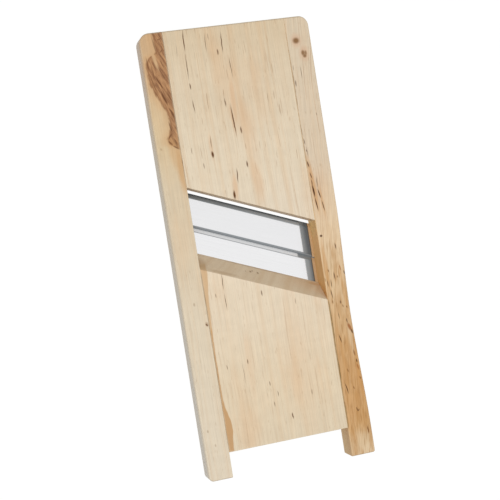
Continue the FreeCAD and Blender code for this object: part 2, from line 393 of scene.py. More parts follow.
class WoodEffects:
    """Shader groups that every wood finish is mixed from.

    The waves are noise waves per metre along X, Y and Z, with the grain along Y.
    """

    DRIFT_WAVES = (9.0, 5.0, 9.0)
    BREAK_WAVES = (170.0, 16.0, 170.0)
    FIBRE_WAVES = (1400.0, 24.0, 1400.0)
    PORE_WAVES = (900.0, 110.0, 900.0)
    CLOUD_WAVES = (34.0, 9.0, 34.0)
    RIPPLE_WAVES = (70.0, 120.0, 70.0)
    WEAR_WAVES = (160.0, 60.0, 160.0)
    LINES_PER_BAND = 4.1

    def __init__(self) -> None:
        """Build each group once."""
        self.grain = self._grain()
        self.fleck = self._fleck()
        self.dashes = self._dashes()
        self.arris = self._arris()

    def _grain(self) -> bpy.types.NodeTree:
        """Growth bands and lines round a pith that lies along Y, with fibres, pores and clouds.

        Returns:
            The group.
        """
        value, vector = SocketKind.VALUE, SocketKind.VECTOR
        group = GroupTree(
            "planed_grain",
            TreeKind.SHADER,
            {"Vector": vector, "Pith X": value, "Pith Z": value, "Band Width": value, "Wander": value},
            {"Bands": value, "Lines": value, "Fibre": value, "Pores": value, "Clouds": value,
             "Ripple": value},
        )
        g, source = group.graph, group.source
        place = source["Vector"]
        x, _, z = g.split(place)
        sway = g.times(g.swing(place, self.DRIFT_WAVES, 2.0, 0.45), source["Wander"])
        across = g.minus(g.plus(x, sway), source["Pith X"])
        up = g.minus(z, source["Pith Z"])
        ring = g.over(g.length(g.join(across, 0.0, up)), source["Band Width"])
        group.put("Bands", g.noise_along(ring, 2.0, 0.5))
        fine = g.noise_along(g.times(ring, self.LINES_PER_BAND), 3.0, 0.65)
        broken = g.noise(place, self.BREAK_WAVES, 2.0, 0.6)
        group.put("Lines", g.times(g.ease(fine, 0.5, 0.72), g.ease(broken, 0.34, 0.66)))
        group.put("Fibre", g.noise(place, self.FIBRE_WAVES, 2.0, 0.6))
        group.put("Pores", g.ease(g.noise(place, self.PORE_WAVES, 1.0, 0.5), 0.66, 0.8))
        group.put("Clouds", g.noise(place, self.CLOUD_WAVES, 3.0, 0.55))
        group.put("Ripple", g.noise(place, self.RIPPLE_WAVES, 3.0, 0.6))
        return group.tree

    def _fleck(self) -> bpy.types.NodeTree:
        """A soft-edged ellipsoid mark at a place, turned about Z.

        Returns:
            The group.
        """
        value, vector = SocketKind.VALUE, SocketKind.VECTOR
        group = GroupTree(
            "fleck",
            TreeKind.SHADER,
            {"Vector": vector, "Centre": vector, "Turn": vector, "Half Size": vector,
             "Strength": value},
            {"Mask": value},
        )
        g, source = group.graph, group.source
        inputs = {
            "Vector": source["Vector"],
            "Location": source["Centre"],
            "Rotation": source["Turn"],
            "Scale": source["Half Size"],
        }
        local = g.node("ShaderNodeMapping", inputs, vector_type="TEXTURE").outputs[0]
        group.put("Mask", g.ease(g.length(local), 1.0, 0.3, 0.0, source["Strength"]))
        return group.tree

    def _dashes(self) -> bpy.types.NodeTree:
        """Short dark dashes scattered along the grain.

        Returns:
            The group.
        """
        value, vector = SocketKind.VALUE, SocketKind.VECTOR
        group = GroupTree(
            "grain_dashes",
            TreeKind.SHADER,
            {"Vector": vector, "Waves": vector, "Threshold": value, "Soft": value},
            {"Mask": value},
        )
        g, source = group.graph, group.source
        scaled = g.vector_math("MULTIPLY", source["Vector"], source["Waves"])
        spots = g.noise(scaled, (1.0, 1.0, 1.0), 1.0, 0.5)
        high = g.plus(source["Threshold"], source["Soft"])
        group.put("Mask", g.ease(spots, source["Threshold"], high))
        return group.tree

    def _arris(self) -> bpy.types.NodeTree:
        """How near a point is to an arris of its piece's box, broken up by noise, for a painted
        highlight.

        Returns:
            The group.
        """
        value, vector = SocketKind.VALUE, SocketKind.VECTOR
        group = GroupTree(
            "arris_wear",
            TreeKind.SHADER,
            {"Vector": vector, "Low": vector, "High": vector, "Width": value},
            {"Mask": value},
        )
        g, source = group.graph, group.source
        from_low = g.vector_math("SUBTRACT", source["Vector"], source["Low"])
        from_high = g.vector_math("SUBTRACT", source["High"], source["Vector"])
        a, b, c = g.split(g.vector_math("MINIMUM", from_low, from_high))
        low, high = g.math("MINIMUM", a, b), g.math("MAXIMUM", a, b)
        second = g.math("MAXIMUM", low, g.math("MINIMUM", high, c))
        rough = g.noise(source["Vector"], self.WEAR_WAVES, 3.0, 0.6)
        reach = g.times(source["Width"], g.ease(rough, 0.2, 0.8, 0.3, 1.6))
        group.put("Mask", g.ease(second, reach, 0.0))
        return group.tree


@dataclass(frozen=True)
class Fleck:
    """A mark in the wood's surface, from one end to the other, in millimetres.

    It goes depth into the wood round a point that lies drop below the face.
    """

    x0: float
    y0: float
    x1: float
    y1: float
    width: float
    strength: float = 0.7
    depth: float = 2.0
    drop: float = 0.0

    def inputs(self, z_face: float) -> dict[str, Value]:
        """Group inputs for this mark.

        Args:
            z_face: Height of the face that it shows on.

        Returns:
            Value of each input by name.
        """
        run_x, run_y = self.x1 - self.x0, self.y1 - self.y0
        half = (math.hypot(run_x, run_y) + self.width * (SOFT_EDGE - 1)) / 2 * MM
        centre = ((self.x0 + self.x1) / 2 * MM, (self.y0 + self.y1) / 2 * MM)
        return {
            "Centre": (*centre, z_face - self.drop * MM),
            "Turn": (0.0, 0.0, math.atan2(run_y, run_x) - math.pi / 2),
            "Half Size": (self.width * SOFT_EDGE / 2 * MM, half, self.depth * MM),
            "Strength": self.strength,
        }


@dataclass(frozen=True)
class Marks:
    """Flecks of one tone."""

    tone: str
    flecks: tuple[Fleck, ...]


@dataclass(frozen=True)
class Dashes:
    """Marks scattered along the grain, from where they fade in to where they are full."""

    tone: str
    waves: Point
    threshold: float
    strength: float
    fades: tuple[float, float] = (1000.0, 999.0)
    soft: float = 0.09


@dataclass(frozen=True)
class EdgeStreak:
    """A streak that hugs a long joint, its width in millimetres drawn along the piece."""

    edge: float
    low: float
    high: float
    widest: float
    outline: Outline
    tone: str
    strength: float = 0.9
    soft: float = 0.5
    ragged: float = 1.2


class WoodCoat(Surface):
    """A wood material under construction: its coordinates, its grain, and its colour so far."""

    def __init__(self, finish: "WoodFinish", effects: WoodEffects, low: Vector, high: Vector) -> None:
        """Start the material of a piece.

        Args:
            finish: The finish that it follows.
            effects: Shared shader groups.
            low: Lowest corner of the piece.
            high: Highest corner of the piece.
        """
        super().__init__(finish.name)
        self.effects, self.low, self.high = effects, low, high
        self.place = self.object_place()
        self.x, self.y, self.z = self.split(self.place)
        self.share = self.over(self.minus(self.y, low.y), high.y - low.y)
        turn = {"Vector": self.place, "Rotation": (0.0, 0.0, -finish.lean)}
        self.along_grain = self.node("ShaderNodeMapping", turn).outputs[0]
        self.grain = self.group(effects.grain, {
            "Vector": self.along_grain,
            "Pith X": finish.pith[0],
            "Pith Z": finish.pith[1],
            "Band Width": finish.band_width,
            "Wander": finish.wander,
        })
        self.colour: Socket = None

    def lay(self, mask: Value, tone: str) -> None:
        """Mix a display colour over the colour so far."""
        self.colour = self.mix(mask, self.colour, linear(tone))

    def below(self, first: float, last: float, start: float, end: float) -> Socket:
        """Ease from start to end between two depths under the face, in millimetres."""
        top = self.high.z
        return self.ease(self.z, top - first * MM, top - last * MM, start, end)


@dataclass(frozen=True)
class HeartStain:
    """Dark heartwood that spreads from a joint, with a ragged rim and a tan halo."""

    foot: float = 100 * MM
    run: float = 130 * MM
    rail_edge: float = -88 * MM
    rail_width: float = 24 * MM
    outline: Outline = (
        (0.0, 1.0), (0.06, 0.95), (0.1, 0.7), (0.14, 0.5), (0.19, 0.56), (0.26, 0.66),
        (0.32, 0.66), (0.42, 0.48), (0.53, 0.24), (0.63, 0.1), (0.7, 0.08), (0.79, 0.25),
        (0.83, 0.54), (0.87, 0.57), (1.0, 0.48),
    )
    tongue_at: tuple[float, float] = (-76 * MM, 201 * MM)
    tongue_size: Point = (2.6 * MM, 16 * MM, 20 * MM)
    tongue_turn: float = 0.2
    flow_turn: float = -0.38
    rim_waves: Point = (260.0, 90.0, 260.0)
    fine_waves: Point = (800.0, 75.0, 500.0)
    broad_waves: Point = (230.0, 45.0, 200.0)
    ragged: float = 0.22
    fine_share: float = 0.65
    tones: Stops = ((0.0, "CB9A6C"), (0.4, "B2835A"), (0.7, "966846"), (1.0, "6E482C"))
    rim_tone: str = "80522F"
    halo_tone: str = "CF9F6C"

    def lay(self, g: WoodCoat) -> None:
        """Lay the stain over the pale wood.

        Args:
            g: The material so far.
        """
        limit = g.curve(g.over(g.minus(g.y, self.foot), self.run), self.outline)
        at = g.over(g.minus(g.x, self.rail_edge), self.rail_width)
        rough = g.swing(g.place, self.rim_waves, 3.0, 0.6)
        inside = g.plus(g.minus(at, limit), g.times(rough, self.ragged))
        tongue = g.group(g.effects.fleck, {
            "Vector": g.place,
            "Centre": (*self.tongue_at, g.high.z),
            "Turn": (0.0, 0.0, self.tongue_turn),
            "Half Size": self.tongue_size,
            "Strength": 1.0,
        })["Mask"]
        mask = g.times(g.ease(inside, -0.02, 0.09), g.minus(1.0, tongue))
        turn = {"Vector": g.place, "Rotation": (0.0, 0.0, self.flow_turn)}
        flow = g.node("ShaderNodeMapping", turn).outputs[0]
        fine = g.noise(flow, self.fine_waves, 3.0, 0.65)
        broad = g.noise(flow, self.broad_waves, 2.0, 0.5)
        veins = g.plus(g.times(fine, self.fine_share), g.times(broad, 1.0 - self.fine_share))
        tone = g.ramp(g.ease(veins, 0.3, 0.68), self.tones)
        rim = g.times(g.ease(inside, 0.0, 0.06), g.ease(inside, 0.17, 0.07))
        tone = g.mix(g.times(rim, 0.55), tone, linear(self.rim_tone))
        halo = g.ease(inside, -0.4, 0.0, 0.0, 0.4)
        g.lay(g.times(halo, g.ease(g.y, 95 * MM, 120 * MM)), self.halo_tone)
        g.colour = g.mix(g.times(mask, g.below(7, 2, 0.35, 0.94)), g.colour, tone)


@dataclass(frozen=True)
class WoodFinish:
    """How one piece of planed, unfinished wood looks."""

    name: str
    along: Stops
    pith: tuple[float, float]
    line_tone: str = "C79F72"
    band_tone: str = "D9B48A"
    cloud_tone: str = "DDB286"
    pore_tone: str = "A9835A"
    # end grain darkened with painted shade
    end_grain_shade_tone: str = "9C7F5A"
    # painted shade on the outer long side
    side_shade_tone: str = "E6E2DA"
    # painted highlight along the arrises
    edge_highlight_tone: str = "EBDDC2"
    # painted shade on the rim of the top end
    top_rim_shade_tone: str = "A89A80"
    inner_tone: str = "B8793A"
    band_width: float = 0.008
    wander: float = 0.012
    line_strength: float = 0.4
    band_strength: float = 0.3
    cloud_strength: float = 0.35
    fibre_strength: float = 0.07
    ripple_strength: float = 0.02
    pore_strength: float = 0.3
    # strength of the end grain's colour with painted shade
    end_grain_shade_strength: float = 0.8
    # strength of the painted shade on the outer long side
    side_shade_strength: float = 0.62
    top_rim_shade_strength: float = 0.4
    top_shade_rim_mm: tuple[float, float] = (2.2, 0.4)
    cloud_shift: float = 0.15
    pore_depth: float = 0.8
    # strength and reach of the painted highlight along the arrises
    edge_highlight_strength: float = 0.35
    edge_highlight_width: float = 1.6 * MM
    inner_along: Stops = ((0.0, "C9A880"),)
    inner_strength: float = 0.0
    lean: float = 0.0
    wobble_mm: float = 1.2
    wobble_waves: Point = (190.0, 150.0, 190.0)
    ragged_waves: Point = (300.0, 120.0, 300.0)
    dashes: tuple[Dashes, ...] = ()
    streaks: tuple[EdgeStreak, ...] = ()
    marks: tuple[Marks, ...] = ()
    stain: HeartStain | None = None

    def build(self, effects: WoodEffects, low: Vector, high: Vector) -> bpy.types.Material:
        """Make the material for a piece.

        Args:
            effects: Shared shader groups.
            low: Lowest corner of the piece.
            high: Highest corner of the piece.

        Returns:
            The material.
        """
        g = WoodCoat(self, effects, low, high)
        self._ground(g)
        if self.stain:
            self.stain.lay(g)
        self._figure(g)
        self._scatter(g)
        self._streaks(g)
        self._flecks(g)
        self._end_grain(g)
        self._sides(g)
        self._edges(g)
        fibre = g.grain["Fibre"]
        height = g.plus(fibre, g.times(g.grain["Pores"], -self.pore_depth))
        rough = g.ease(fibre, 0.2, 0.8, 0.5, 0.64)
        return g.close(g.colour, rough, height, (0.22, 0.06), {"Specular IOR Level": 0.3})

    def _ground(self, g: WoodCoat) -> None:
        """Plain colour of the wood, changing along the piece, with broad bands and clouds.

        Args:
            g: The material so far.
        """
        clouds = g.grain["Clouds"]
        share = g.plus(g.share, g.times(g.minus(clouds, 0.5), self.cloud_shift))
        g.colour = g.ramp(share, self.along)
        g.lay(g.ease(g.grain["Bands"], 0.42, 0.8, 0.0, self.band_strength), self.band_tone)
        g.lay(g.ease(clouds, 0.5, 0.78, 0.0, self.cloud_strength), self.cloud_tone)

    def _figure(self, g: WoodCoat) -> None:
        """Lay growth lines, pores, fibres and a faint cross ripple over the colour.

        Args:
            g: The material so far.
        """
        fibre, ripple = self.fibre_strength, self.ripple_strength
        g.lay(g.times(g.grain["Lines"], self.line_strength), self.line_tone)
        g.lay(g.times(g.grain["Pores"], self.pore_strength), self.pore_tone)
        fibres = g.ease(g.grain["Fibre"], 0.25, 0.75, 1.0 - fibre, 1.0 + fibre)
        ripples = g.ease(g.grain["Ripple"], 0.3, 0.7, 1.0 - ripple, 1.0 + ripple)
        g.colour = g.shaded(g.colour, g.times(fibres, ripples))

    def _scatter(self, g: WoodCoat) -> None:
        """Lay the scattered dashes and patches over the colour.

        Args:
            g: The material so far.
        """
        for dashes in self.dashes:
            mask = g.group(g.effects.dashes, {
                "Vector": g.along_grain,
                "Waves": dashes.waves,
                "Threshold": dashes.threshold,
                "Soft": dashes.soft,
            })["Mask"]
            start, full = dashes.fades
            within = g.ease(g.y, start * MM, full * MM, 0.0, dashes.strength)
            g.lay(g.times(mask, within), dashes.tone)

    def _streaks(self, g: WoodCoat) -> None:
        """Lay the streaks that hug the joints over the colour.

        Args:
            g: The material so far.
        """
        for streak in self.streaks:
            run = (streak.high - streak.low) * MM
            share = g.over(g.minus(g.y, streak.low * MM), run)
            width = g.times(g.curve(share, streak.outline), streak.widest * MM)
            away = g.math("ABSOLUTE", g.minus(g.x, streak.edge * MM))
            rough = g.swing(g.place, self.ragged_waves, 3.0, 0.6)
            away = g.plus(away, g.times(rough, streak.ragged * MM))
            outer = g.plus(width, streak.soft * MM)
            inner = g.minus(width, streak.soft * MM)
            mask = g.ease(away, outer, inner, 0.0, streak.strength)
            ends = g.times(g.ease(share, 0.0, 0.04), g.ease(share, 1.0, 0.96))
            g.lay(g.times(mask, ends), streak.tone)

    def _flecks(self, g: WoodCoat) -> None:
        """Lay each set of marks over the colour, their edges a little ragged.

        Each set bends a hair round the marks before it, so that the sets are worked out one by one. A
        renderer holds only so many numbers at once, and a rail's marks in one go would be too many.

        Args:
            g: The material so far.
        """
        sway = g.times(g.swing(g.place, self.wobble_waves), self.wobble_mm * MM)
        for marks in self.marks:
            wavy = g.join(g.plus(g.x, sway), g.y, g.z)
            mask: Socket = 0.0
            for fleck in marks.flecks:
                inputs = {"Vector": wavy, **fleck.inputs(g.high.z)}
                mask = g.math("MAXIMUM", mask, g.group(g.effects.fleck, inputs)["Mask"])
            g.lay(mask, marks.tone)
            sway = g.plus(sway, g.times(mask, MARK_BEND))

    def _end_grain(self, g: WoodCoat) -> None:
        """Darken the sawn ends along their growth rings, partly as the end grain's own colour and partly
        as painted shade.

        Args:
            g: The material so far.
        """
        _, along, _ = g.true_normal()
        # Faces turned along the rails get the end grain's colour and painted shade.
        end = g.ease(g.math("ABSOLUTE", along), 0.25, 0.75, 0.0, self.end_grain_shade_strength)
        rings = g.ease(g.grain["Bands"], 0.3, 0.7, 0.48, 0.72)
        g.colour = g.mix(end, g.colour, g.mix(rings, g.colour, linear(self.end_grain_shade_tone)))

    def _sides(self, g: WoodCoat) -> None:
        """Paint shade on the outer long side below the face, and tone the inner one along its length.

        Args:
            g: The material so far.
        """
        across, _, _ = g.true_normal()
        outer_x = max(g.low.x, g.high.x, key=abs)
        outwards = g.times(across, math.copysign(1.0, outer_x))
        # Painted shade: the outer long side greys below the face, less so near its top arris.
        side = g.times(g.below(2, 12, 0.2, 1.0), self.side_shade_strength)
        g.lay(g.times(g.ease(outwards, 0.4, 0.8), side), self.side_shade_tone)
        tone = g.ramp(g.share, self.inner_along)
        tone = g.mix(g.below(17, 1, 0.0, 0.3), tone, linear(self.inner_tone))
        inner = g.times(g.ease(outwards, -0.4, -0.8), self.inner_strength)
        g.colour = g.mix(inner, g.colour, tone)

    def _edges(self, g: WoodCoat) -> None:
        """Paint shade on the rim of the top end, and paint a pale highlight along the arrises.

        Args:
            g: The material so far.
        """
        # Painted shade along the rim of the top end.
        start, full = [(TOP_END_MM - depth) * MM for depth in self.top_shade_rim_mm]
        g.lay(g.ease(g.y, start, full, 0.0, self.top_rim_shade_strength), self.top_rim_shade_tone)
        # Painted highlight: the arrises are made paler.
        highlit_arrises = g.group(g.effects.arris, {
            "Vector": g.place, "Low": tuple(g.low), "High": tuple(g.high), "Width": self.edge_highlight_width,
        })["Mask"]
        g.lay(g.times(highlit_arrises, self.edge_highlight_strength), self.edge_highlight_tone)


@dataclass
class Timber:
    """The four wooden pieces, each with its own finish and marks."""

    hair_lines: Dashes = Dashes("A87C50", (700.0, 20.0, 700.0), 0.67, 0.25, soft=0.08)

    def left_rail(self) -> WoodFinish:
        """Pale rail, tan at its top, with a dark heartwood stain along the joint.

        Returns:
            The finish.
        """
        veins = Marks("6A4224", (
            Fleck(-79, 186, -70.5, 168, 0.8, 0.85), Fleck(-75.5, 171, -69, 151.5, 1.0, 0.95),
            Fleck(-69.3, 152, -64.3, 140, 0.9, 0.85), Fleck(-70, 169, -63.8, 154, 0.7, 0.7),
            Fleck(-80.5, 196, -78.5, 180, 0.7, 0.6), Fleck(-72, 139, -69.5, 126, 0.8, 0.7),
            Fleck(-69.5, 126.5, -75, 120, 0.8, 0.65), Fleck(-75, 119, -71, 114, 0.9, 0.7),
            Fleck(-72, 114, -64.5, 109, 0.8, 0.7), Fleck(-70, 122, -66, 113, 0.8, 0.6),
            Fleck(-76, 226, -72.8, 205, 0.7, 0.5), Fleck(-71, 219, -66, 220.5, 0.6, 0.6),
            Fleck(-70, 206, -66, 210, 0.6, 0.6), Fleck(-71, 200, -67, 190, 0.6, 0.6),
            Fleck(-84, 205, -83, 190, 0.7, 0.55), Fleck(-83.5, 188, -78, 166, 0.7, 0.6),
            Fleck(-64.2, 108, -63.9, 70, 0.6, 0.75),
        ))
        knot = Marks("6A4224", (
            Fleck(-66.8, -66.5, -65.2, -68.6, 0.8, 0.9),
        ))
        dots = Marks("8E6A42", (
            Fleck(-66.2, -65, -65.2, -69, 1.7, 0.5), Fleck(-75.4, -44, -75.4, -47, 1.0, 0.4),
            Fleck(-83.6, 112.5, -83.4, 110.5, 1.0, 0.35), Fleck(-82.2, -171, -82, -173.5, 0.9, 0.4),
            Fleck(-77, -186, -76.5, -189, 0.8, 0.35),
        ))
        tan = Marks("CDA06C", (
            Fleck(-68, 122, -63.5, 56, 5.0, 0.7, 6.0), Fleck(-73, 128, -69, 84, 5.0, 0.45, 6.0),
        ))
        seam = EdgeStreak(-64, 66, 228, 1.1, (
            (0.0, 1.0), (0.15, 0.8), (0.3, 0.9), (0.5, 0.6), (0.7, 0.7), (1.0, 0.6),
        ), "80603A", 0.75, 0.4, 1.0)
        along = (
            (0.0, "E1D3BC"), (0.35, "E0D1B8"), (0.62, "DBC9AC"), (0.78, "DAC29C"), (1.0, "D0AE86"),
        )
        return WoodFinish(
            "left_rail_wood", along, (-0.19, -0.07), marks=(tan, veins, dots, knot), streaks=(seam,),
            stain=HeartStain(), cloud_strength=0.2, line_strength=0.25, band_strength=0.2,
            # The side tone is painted shade on the outer side, and the end tone is end grain with
            # painted shade.
            side_shade_tone="C9C9C7", side_shade_strength=0.45, end_grain_shade_tone="8C7350",
        )

    def right_rail(self) -> WoodFinish:
        """Rail that turns from pinkish cream at its top to orange at its foot, with two knots.

        Returns:
            The finish.
        """
        halo = Marks("D6A988", (
            Fleck(71.9, 208, 71.9, 197, 5.2, 0.5), Fleck(78.5, 195, 78.5, 182, 5.2, 0.45),
        ))
        knots = Marks("8A6540", (
            Fleck(71.9, 203.8, 72.0, 201.2, 3.3, 0.98), Fleck(77.6, 191.6, 77.4, 187.0, 1.9, 0.9),
            Fleck(80.2, 191.2, 80.2, 186.6, 1.5, 0.8), Fleck(77.8, 186.4, 80.0, 186.2, 2.0, 0.9),
        ))
        streaks = Marks("CB9557", (
            Fleck(63.5, 95, 68.5, 15, 2.6, 0.6), Fleck(71.5, 60, 74.5, 15, 1.6, 0.4),
            Fleck(65, 10, 66.5, -70, 2.0, 0.5), Fleck(79, -20, 83, -90, 1.8, 0.35),
            Fleck(67, -80, 71, -150, 2.0, 0.35), Fleck(82, -110, 85, -190, 1.6, 0.5),
        ))
        pale = Marks("E6CFAC", (
            Fleck(79, -80, 82, -130, 2.0, 0.35), Fleck(68, 10, 70, -50, 1.2, 0.3),
            Fleck(72, -200, 76, -226, 4.0, 0.25),
        ))
        cracks = Marks("4A2503", (
            Fleck(63.5, 80.2, 64.9, 72.2, 0.65, 0.9), Fleck(64.7, 68.4, 66.2, 60, 0.5, 0.85),
            Fleck(65.0, 61, 65.6, 53, 0.5, 0.8),
            Fleck(65.2, 57, 66.1, 40, 0.9, 1.0), Fleck(65.8, 44, 67.6, 25.5, 0.6, 1.0),
            Fleck(71.0, 64, 70.3, 49, 0.45, 0.6), Fleck(70.0, 51, 72.5, 38.5, 0.6, 1.0),
            Fleck(72.6, 39, 74.5, 24.5, 0.5, 0.9), Fleck(65.1, 163.4, 64.6, 155.3, 0.5, 0.85),
            Fleck(72.3, 178, 72.3, 161.5, 0.38, 0.6), Fleck(62.5, 72, 62.7, 18, 0.5, 0.85),
            Fleck(62.6, 120, 63.3, 103.4, 0.42, 0.6), Fleck(63.7, 103.4, 64.5, 95.5, 0.5, 0.75),
            Fleck(64.8, 91.2, 65.3, 88.5, 0.5, 0.75), Fleck(64.9, 178.9, 64.5, 171.7, 0.38, 0.45),
            Fleck(81.2, 127.7, 81.8, 124.2, 0.45, 0.45), Fleck(65.1, 96, 65.9, 82, 0.35, 0.5),
            Fleck(66.1, 2.2, 66.1, 1.2, 1.35, 0.95), Fleck(79.3, -7, 79.9, -15, 0.5, 0.9),
            Fleck(73.5, -36, 73.7, -45.5, 0.5, 0.85), Fleck(84.0, -36.5, 85.1, -41.5, 0.6, 0.85),
            Fleck(65.1, -43.5, 65.7, -51.8, 0.45, 0.8), Fleck(68.9, -43, 69.0, -53.8, 0.45, 0.75),
            Fleck(67.2, -53, 68.2, -64.5, 0.5, 0.9), Fleck(75.9, -66.8, 75.7, -70.3, 0.7, 0.75),
            Fleck(71.6, -78, 71.8, -86.8, 0.45, 0.6), Fleck(79.1, -85.5, 79.7, -91, 0.55, 0.85),
            Fleck(82.4, -97.5, 83.7, -102.8, 0.9, 0.85), Fleck(68.3, -100, 70.4, -111, 0.5, 0.9),
            Fleck(82.9, -128.5, 83.4, -133, 0.7, 0.85), Fleck(66.6, -150, 69.4, -164.3, 0.5, 0.95),
            Fleck(74.8, -177.5, 75.9, -182.6, 0.5, 0.85), Fleck(77.9, -180, 75.9, -182.6, 0.5, 0.8),
        ))
        thin = Marks("7C4A14", (
            Fleck(67.7, -33, 68.2, -36.5, 0.5, 0.8), Fleck(62.9, -41, 63.0, -46, 0.5, 0.8),
            Fleck(76.6, -41.2, 76.9, -43.2, 0.7, 0.6), Fleck(67.5, -65, 67.6, -69, 0.5, 0.8),
            Fleck(77.4, -71, 77.8, -74.5, 0.5, 0.75), Fleck(81.3, -73, 81.7, -75.6, 0.6, 0.75),
            Fleck(75.2, -156, 76.1, -159.4, 0.6, 0.7), Fleck(71.9, -137, 72.3, -141.2, 0.6, 0.7),
            Fleck(63.2, -169, 63.2, -175, 0.5, 0.7), Fleck(83.6, -147, 84.5, -150.5, 0.6, 0.8),
            Fleck(83.3, -198, 84.1, -208, 0.6, 0.9), Fleck(81.4, -118.5, 82.2, -126, 0.8, 0.75),
        ))
        bark = Marks("99561F", (
            Fleck(79.6, -90.5, 82.6, -100, 1.5, 0.85), Fleck(80.5, -30, 81.3, -37, 0.55, 0.8),
            Fleck(83.0, -133, 83.8, -141, 0.8, 0.7),
        ))
        along = (
            (0.0, "E0C7A3"), (0.035, "D8BB93"), (0.08, "D0A876"), (0.14, "CFA471"), (0.2, "CFA471"),
            (0.3, "D5B082"), (0.4, "E0C39B"), (0.5, "E8CFAC"), (0.58, "E6CFAF"), (0.68, "DECBB1"),
            (1.0, "DCCBB1"),
        )
        joint_line = EdgeStreak(62.4, -200, -62, 2.3, (
            (0.0, 0.3), (0.15, 0.5), (0.3, 0.35), (0.45, 0.6), (0.6, 0.4), (0.8, 0.6), (1.0, 0.4),
        ), "6E5C34", 0.95, 0.35, 1.0)
        upper_line = EdgeStreak(62.4, 70, 215, 1.1, (
            (0.0, 1.0), (0.15, 0.9), (0.3, 0.6), (0.5, 0.8), (0.65, 1.0), (0.8, 0.7), (1.0, 0.5),
        ), "80603A", 0.75, 0.4, 1.8)
        below = (45.0, -40.0)
        return WoodFinish(
            "right_rail_wood", along, (0.16, -0.03), streaks=(joint_line, upper_line),
            marks=(halo, streaks, pale, knots, thin, bark, cracks), wobble_mm=0.6,
            cloud_tone="C88B50", cloud_strength=0.25, line_tone="AA743C", line_strength=0.5,
            # The edge tone is a painted highlight on the arrises, the end tone is end grain with painted
            # shade, and the side tone is painted shade on the outer side.
            lean=-0.085, band_width=0.005, wander=0.03, fibre_strength=0.09, edge_highlight_tone="E4C79C",
            end_grain_shade_tone="8C7350", side_shade_tone="B09B7A", side_shade_strength=0.5, inner_strength=0.85,
            inner_along=(
                (0.0, "D1B285"), (0.33, "CFAA78"), (0.364, "CD9450"), (0.405, "E8B878"),
                (0.447, "E6B473"), (0.491, "F2C080"), (0.54, "F0CA86"), (0.62, "DCCBB1"),
            ),
            dashes=(
                Dashes("B98342", (150.0, 34.0, 150.0), 0.52, 0.4, below, 0.16),
                Dashes("B07A3A", (270.0, 24.0, 270.0), 0.56, 0.3, below, 0.25),
                Dashes("A9763C", (1300.0, 50.0, 1300.0), 0.5, 0.5, below, 0.2),
                Dashes("9A6830", (950.0, 75.0, 950.0), 0.6, 0.4, below, 0.12),
            ),
        )

    def upper_board(self) -> WoodFinish:
        """Pale board with soft pinkish bands and dark hair lines.

        Returns:
            The finish.
        """
        bands = Marks("DDB186", (
            Fleck(2, 160, 12, 70, 8.0, 0.2, 9.0), Fleck(-2, 180, -4, 120, 2.6, 0.45, 9.0),
            Fleck(-14, 80, -16, 48, 2.6, 0.45, 9.0), Fleck(-33, 125, -33, 90, 2.0, 0.35, 9.0),
            Fleck(6, 100, 12, 40, 5.0, 0.35, 9.0), Fleck(-8, 150, -5, 110, 1.6, 0.4, 9.0),
        ))
        lines = Marks("5E3610", (
            Fleck(-43.4, 228, -44.3, 202, 0.62, 0.95), Fleck(-44.3, 206, -44.8, 172, 0.42, 0.75),
            Fleck(-44.4, 173.5, -44.3, 166, 0.65, 0.85), Fleck(-44.4, 158, -43.8, 141, 0.5, 0.75),
            Fleck(-21.3, 224, -22.9, 199, 0.42, 0.65), Fleck(-18.5, 221, -18.6, 213, 0.42, 0.5),
            Fleck(-5.1, 223, -6.0, 196, 0.5, 0.9), Fleck(-11, 204, -11, 197, 0.8, 0.8),
            Fleck(-0.6, 198, 0.3, 170, 0.45, 0.7), Fleck(-11.6, 155, -11.4, 144, 0.6, 0.75),
            Fleck(-6.8, 150, -5.2, 111, 0.65, 0.95), Fleck(0.1, 124, 0.4, 116, 0.8, 0.85),
            Fleck(-32.9, 103, -32.7, 96, 1.2, 0.98), Fleck(-32.3, 120, -32.4, 104, 0.4, 0.6),
            Fleck(0.6, 89, 0.9, 81.5, 0.75, 0.85), Fleck(-10.6, 84, -11.3, 66, 0.6, 0.85),
            Fleck(-16.9, 61.5, -17.1, 51.5, 1.1, 1.0), Fleck(-43.3, 93, -43.2, 86, 0.5, 0.6),
            Fleck(-53.3, 110, -53.2, 102, 0.5, 0.5), Fleck(-52, 215, -53, 195, 0.3, 0.4),
        ))
        along = (
            (0.0, "E6D7C0"), (0.35, "E5D5BB"), (0.7, "E0CEB2"), (1.0, "DBC7A8"),
        )
        specks = Dashes("946A3E", (560.0, 42.0, 560.0), 0.68, 0.4, (20.0, 110.0), 0.07)
        return WoodFinish(
            "upper_board_wood", along, (0.17, -0.12), marks=(bands, lines),
            dashes=(self.hair_lines, specks), line_strength=0.32,
        )

